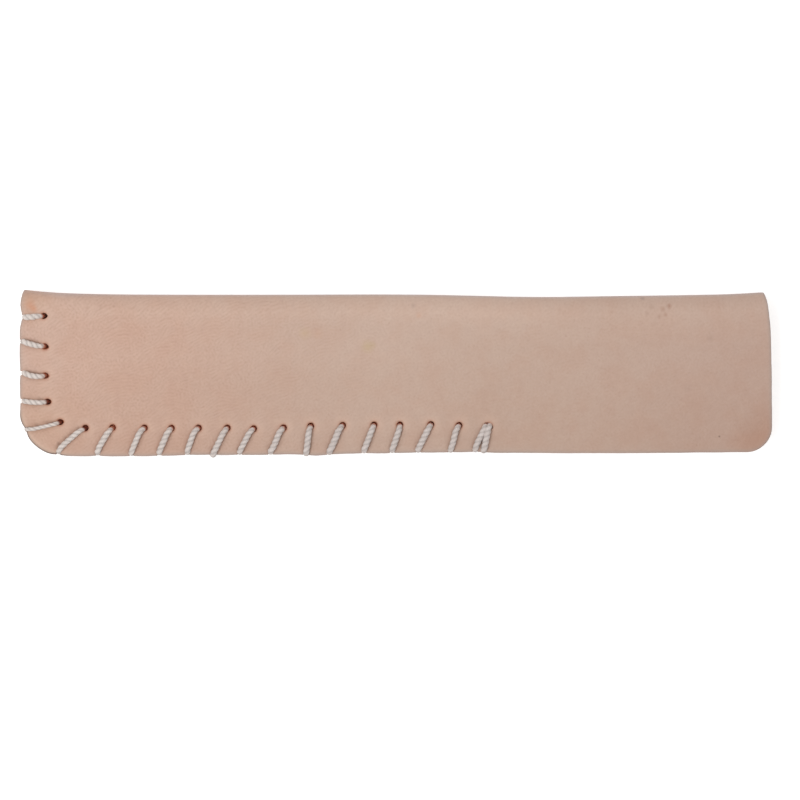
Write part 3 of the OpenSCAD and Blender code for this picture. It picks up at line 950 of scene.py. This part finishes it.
def layered(tree, tone, layers):
    """A tone with further colours laid over it, each by its share."""
    for share, tint in layers:
        tone = blend(tree, share, tone, colour(*tint))
    return tone


# Marks of this hide: place in plan, radius, softness, share and tint
MARKS = [
    (-83.2, 15.3, 0.9, 0.7, 0.42, (206, 138, 100)),
    (-82.3, 14.4, 0.6, 0.5, 0.50, (206, 136, 98)),
    (-20.6, 9.0, 0.8, 1.0, 0.30, (196, 166, 116)),
    (-17.8, 8.9, 0.7, 1.0, 0.26, (198, 150, 118)),
    (-6.3, 6.0, 1.0, 0.9, 0.34, (186, 166, 112)),
    (-5.0, 6.3, 0.5, 0.6, 0.25, (176, 146, 104)),
    (5.3, 13.0, 0.4, 0.5, 0.30, (206, 150, 116)),
    (4.0, 14.9, 0.3, 0.4, 0.35, (150, 124, 116)),
    (-69.8, 14.6, 0.25, 0.3, 0.20, (150, 92, 66)),
    (-69.9, 13.2, 0.25, 0.3, 0.13, (150, 92, 66)),
    (-66.8, 14.6, 0.25, 0.3, 0.14, (138, 104, 86)),
    (-63.8, 14.9, 0.20, 0.3, 0.15, (130, 88, 74)),
    (-63.3, 12.6, 0.25, 0.3, 0.12, (150, 92, 66)),
    (56.1, 16.6, 0.30, 0.35, 0.45, (128, 112, 112)),
    (62.1, 14.8, 0.35, 0.4, 0.50, (148, 96, 72)),
    (60.6, 14.2, 0.30, 0.4, 0.40, (148, 96, 72)),
    (61.2, 13.2, 0.25, 0.4, 0.35, (148, 96, 72)),
    (59.8, 12.8, 0.30, 0.4, 0.30, (148, 104, 84)),
    (58.0, 14.6, 0.30, 0.4, 0.25, (148, 112, 96)),
    (57.0, 13.4, 0.30, 0.4, 0.25, (148, 112, 96)),
    (73.5, -14.45, 0.14, 0.16, 0.80, (74, 50, 40)),
    (66.4, -3.3, 0.7, 0.9, 0.12, (140, 118, 110)),
    (71.3, 8.0, 0.5, 0.7, 0.18, (140, 116, 104)),
]


def hide_tone(tree, flat, x, v, mottle):
    """The outside's tone: lightest at the closed end and darker towards the mouth, which is painted light
    falloff, and darker towards the long cut edge.
    """
    # painted light falloff along the sleeve
    tone = shade_along(tree, ramp(tree, x, -HALF_LENGTH, HALF_LENGTH), [
        (0.0, (211, 179, 162)), (0.12, (208, 175, 157)), (0.45, (202, 176, 160)),
        (0.66, (197, 171, 155)), (1.0, (192, 164, 149)),
    ])
    tone = blend(tree, ramp(tree, v, 15.0, 38.0), tone, dimmed(tree, tone, 246, 243, 241))
    fold_band = times(tree, ramp(tree, v, 13.0, 5.0), ramp(tree, x, -30.0, 20.0))
    rolled = times(tree, ramp(tree, v, 8.0, 5.0), ramp(tree, v, 1.2, 2.4))
    tone = layered(tree, tone, (
        # lighter over the fold and the back panel, less so towards the mouth
        (times(tree, fold_band, ramp(tree, x, 10.0, 85.0, 1.0, 0.42)), (203, 177, 161)),
        (times(tree, rolled, ramp(tree, x, 45.0, 20.0, 0.0, 0.32)), (216, 189, 172)),
        # painted grey shade along the fold's outermost line, where it turns away from the lamps; the two ends of
        # the closed end, and the mouth's round corner
        (ramp(tree, math_node(tree, "ABSOLUTE", v), 1.9, 0.9, 0.0, 0.35), (184, 177, 181)),
        (times(tree, spot(tree, flat, -81.0, -12.0, 6.0, 6.0), 0.35), (206, 166, 138)),
        (times(tree, spot(tree, flat, -84.0, 17.0, 3.5, 3.5), 0.5), (198, 158, 130)),
        (spot(tree, flat, 88.0, -20.0, 8.0, 7.0), (176, 134, 112)),
    ))
    deeper = dimmed(tree, tone, 247, 242, 240)
    tone = use_group(tree, mottle, Place=flat, Light=tone, Dark=deeper, Amount=0.8)["Color"]
    ruddy = times(tree, ramp(tree, noise(tree, flat, 0.17, 2.0), 0.42, 0.62), 0.35)
    tone = blend(tree, ruddy, tone, dimmed(tree, tone, 252, 243, 238))
    uneven = ramp(tree, noise(tree, flat, 0.72, 1.0), 0.35, 0.65)
    uneven = times(tree, uneven, ramp(tree, x, -60.0, -20.0, 1.0, 0.7))
    return blend(tree, uneven, tone, dimmed(tree, tone, 251, 250, 250))


def leather_material(grain, mottle, fibres):
    """Natural vegetable-tanned leather: smooth grain outside, raw cut edges, suede-like flesh side."""
    material, tree, shader = new_material("natural_leather")
    flat = attribute(tree, "flat_mm", True)
    x, v, _ = node(tree, "ShaderNodeSeparateXYZ", [flat]).outputs
    names = ("cut_edge", "hole_edge", "rim", "pressing", "lee_shadow", "flesh")
    cut, hole, rim, pressing, lee_shadow, flesh = (attribute(tree, name) for name in names)
    hide = use_group(tree, grain, Place=flat, Lines=ramp(tree, x, -30.0, 10.0, 0.80, 0.40))

    tone = layered(tree, hide_tone(tree, flat, x, v, mottle), (
        # painted shade in the grain's creases
        (times(tree, hide["Crease shade"], ramp(tree, x, -50.0, 10.0, 0.22, 0.115)), (158, 120, 98)),
        (times(tree, hide["Pores"], 0.09), (140, 98, 78)),
    ))
    for mark_x, mark_y, radius, edge, share, tint in MARKS:
        mark = times(tree, spot(tree, flat, mark_x, mark_y, radius, edge), share)
        tone = blend(tree, mark, tone, colour(*tint))

    # worn along the cuts; a painted highlight and then painted warm shade round the holes; darker where the
    # strands press in, and a painted shadow beside them
    tone = layered(tree, tone, (
        (times(tree, cut, 0.22), (192, 178, 168)),
        # painted highlight on the rim round each hole
        (times(tree, times(tree, hole, math_node(tree, "SUBTRACT", 1.0, hole)), 1.1), (222, 190, 170)),
        # painted warm shade at the holes' edges and walls
        (times(tree, math_node(tree, "POWER", hole, 2.0), 0.45), (178, 112, 80)),
        (times(tree, pressing, 0.22), (160, 126, 106)),
        # painted shadow along the strands' side turned from the window lamp
        (times(tree, lee_shadow, ramp(tree, x, -74.0, -62.0, 0.55, 0.30)), (122, 92, 78)),
    ))

    # the flesh side, and the hole walls in painted warm shade, darkest by the closed corner
    strands = use_group(tree, fibres, Place=flat, Stretch=(1.6, 1.6, 7.0))["Fibres"]
    raw = blend(tree, ramp(tree, strands, 0.38, 0.62), colour(214, 184, 162), colour(180, 146, 122))
    # painted warm shade inside the holes, darkest by the closed corner
    deep = spot(tree, flat, -75.5, -9.5, 8.0, 2.0)
    walls = blend(tree, deep, colour(242, 154, 102), colour(188, 78, 30))
    raw = blend(tree, math_node(tree, "POWER", hole, 1.2), raw, walls)
    tone = blend(tree, flesh, tone, raw)

    # the cut edge's rim is darker and greyer, partly its burnished colour and partly painted shade, darkest
    # round the closed corner, with a painted highlight line inside it
    rounded = spot(tree, flat, -83.0, -17.5, 8.0, 1.5)
    highlight_line = times(tree, math_node(tree, "POWER", cut, 1.5), math_node(tree, "SUBTRACT", 1.0, rim))
    tone = blend(tree, times(tree, times(tree, highlight_line, rounded), 0.9), tone, colour(236, 206, 182))
    rim_tone = blend(tree, rounded, colour(146, 134, 130), colour(118, 98, 90))
    tone = blend(tree, times(tree, rim, ramp(tree, rounded, 0.0, 1.0, 0.44, 0.95)), tone, rim_tone)
    tree.links.new(tone, shader.inputs["Base Color"])

    smooth = ramp(tree, hide["Height"], 0.35, 0.65, 0.64, 0.52)
    tree.links.new(mixed(tree, flesh, smooth, 0.92), shader.inputs["Roughness"])
    shader.inputs["Specular IOR Level"].default_value = 0.30
    outer_height = times(tree, hide["Height"], math_node(tree, "SUBTRACT", 1.0, flesh))
    total = math_node(tree, "ADD", outer_height, times(tree, strands, times(tree, flesh, 2.2)))
    tree.links.new(bump(tree, total, 0.6, 0.00012), shader.inputs["Normal"])
    return material


def cord_material(fibres):
    """White two-ply cord with a soft matte surface."""
    material, tree, shader = new_material("white_cord")
    around, along = attribute(tree, "around", True), attribute(tree, "along_mm")
    parts = node(tree, "ShaderNodeSeparateXYZ", [around]).outputs
    place = node(tree, "ShaderNodeCombineXYZ", [parts[0], parts[1], along]).outputs[0]
    strands = use_group(tree, fibres, Place=place, Stretch=(7.0, 7.0, 0.55))["Fibres"]
    cloudy = ramp(tree, noise(tree, place, 0.5, 2.0), 0.35, 0.65)
    tone = blend(tree, cloudy, colour(239, 228, 221), colour(230, 218, 210))
    # painted light falloff: greyer towards its end
    tone = blend(tree, ramp(tree, along, 90.0, 320.0), tone, dimmed(tree, tone, 236, 235, 237))
    tone = layered(tree, tone, (
        (ramp(tree, strands, 0.42, 0.66, 0.0, 0.35), (196, 186, 178)),
        # painted shade in the valley between the plies
        (times(tree, attribute(tree, "groove"), 0.62), (166, 156, 151)),
    ))
    # painted warm shade on the cord inside the holes, darkest by the closed corner
    at = node(tree, "ShaderNodeTexCoord").outputs["Object"]
    corner = distance_to(tree, at, (-75.5 * MM, -9.5 * MM, 5 * MM))
    hole_shade = blend(tree, ramp(tree, corner, 10 * MM, 6 * MM), colour(210, 146, 114), colour(150, 74, 42))
    tone = blend(tree, times(tree, attribute(tree, "sunk"), 0.95), tone, hole_shade)
    tree.links.new(tone, shader.inputs["Base Color"])
    shader.inputs["Roughness"].default_value = 0.8
    shader.inputs["Specular IOR Level"].default_value = 0.2
    shader.inputs["Sheen Weight"].default_value = 0.12
    tree.links.new(bump(tree, strands, 0.6, 0.00006), shader.inputs["Normal"])
    return material


# Floor, light and camera

TABLE_HALF = 3.0  # metres
SENSOR = 36  # millimetres
CAMERA_DISTANCE = 1.1  # metres above the sleeve's upper face
SLEEVE_TOP = 0.006
SEEN_WIDTH = 0.18184  # metres across the picture at that face


def seen_itself(tree):
    """1 for rays that show the thing itself, 0 for those that only carry its light."""
    path = node(tree, "ShaderNodeLightPath").outputs
    passed_on = math_node(tree, "MAXIMUM", path["Is Glossy Ray"], path["Is Transmission Ray"])
    return math_node(tree, "MAXIMUM", path["Is Camera Ray"], passed_on)


def white_floor():
    material, tree, shader = new_material("white_table")
    shader.inputs["Base Color"].default_value = (0.93, 0.93, 0.93, 1)
    shader.inputs["Roughness"].default_value = 1.0
    shader.inputs["Specular IOR Level"].default_value = 0.0
    glow = node(tree, "ShaderNodeEmission", {
        "Color": (1, 1, 1, 1), "Strength": times(tree, seen_itself(tree), 0.46),
    })
    both = node(tree, "ShaderNodeAddShader", [shader.outputs[0], glow.outputs[0]])
    tree.links.new(both.outputs[0], tree.nodes["Material Output"].inputs["Surface"])
    mesh = bpy.data.meshes.new("table_top")
    corners = [(x * TABLE_HALF, y * TABLE_HALF, 0) for x, y in ((-1, -1), (1, -1), (1, 1), (-1, 1))]
    mesh.from_pydata(corners, [], [(0, 1, 2, 3)])
    mesh.materials.append(material)
    floor = bpy.data.objects.new("table_top", mesh)
    bpy.context.scene.collection.objects.link(floor)


def studio():
    scene = bpy.context.scene
    world = bpy.data.worlds.new("studio")
    scene.world = world
    world.use_nodes = True
    tree = world.node_tree
    back = tree.nodes["Background"]
    back.inputs["Color"].default_value = (1, 1, 1, 1)
    tree.links.new(ramp(tree, seen_itself(tree), 0.0, 1.0, 0.60, 1.0), back.inputs["Strength"])
    for name, place, size, power in (
        ("window", (-0.46, -0.12, 0.95), 0.5, 3.8),
        ("fill", (0.45, 0.20, 1.0), 0.9, 1.5),
    ):
        lamp = bpy.data.lights.new(name, "AREA")
        lamp.shape = "SQUARE"
        lamp.size = size
        lamp.energy = power
        obj = bpy.data.objects.new(name, lamp)
        obj.location = place
        obj.rotation_mode = "QUATERNION"
        obj.rotation_quaternion = (-Vector(place)).to_track_quat("-Z", "Y")
        scene.collection.objects.link(obj)
    scene.view_settings.view_transform = "Standard"

    data = bpy.data.cameras.new("overhead")
    data.sensor_width = SENSOR
    data.lens = SENSOR * CAMERA_DISTANCE / SEEN_WIDTH
    data.clip_start, data.clip_end = 0.05, 20
    camera = bpy.data.objects.new("overhead", data)
    camera.location = (0.0010, -0.0062, CAMERA_DISTANCE + SLEEVE_TOP)
    scene.collection.objects.link(camera)
    scene.camera = camera


# Build

grain, mottle, fibres = hide_grain_group(), mottle_group(), fibre_group()
leather_finish = leather_material(grain, mottle, fibres)
cord_finish = cord_material(fibres)

leather = build_leather()
leather.data.materials.append(leather_finish)
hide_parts("leather_body")
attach(leather, "root")

tree = twisted_cord_tree(cord_finish)
for name, route, node_name in (
    ("whip_stitch_cord", cord_route(), "stitching_cord"),
    ("start_knot_cord", knot_route(START_TAIL, (11, -5)), "start_knot"),
    ("end_knot_cord", knot_route(END_TAIL, (1, 0)), "end_knot"),
):
    piece = twisted_piece(name, route, tree)
    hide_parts(node_name)
    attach(piece, "root")

white_floor()
studio()
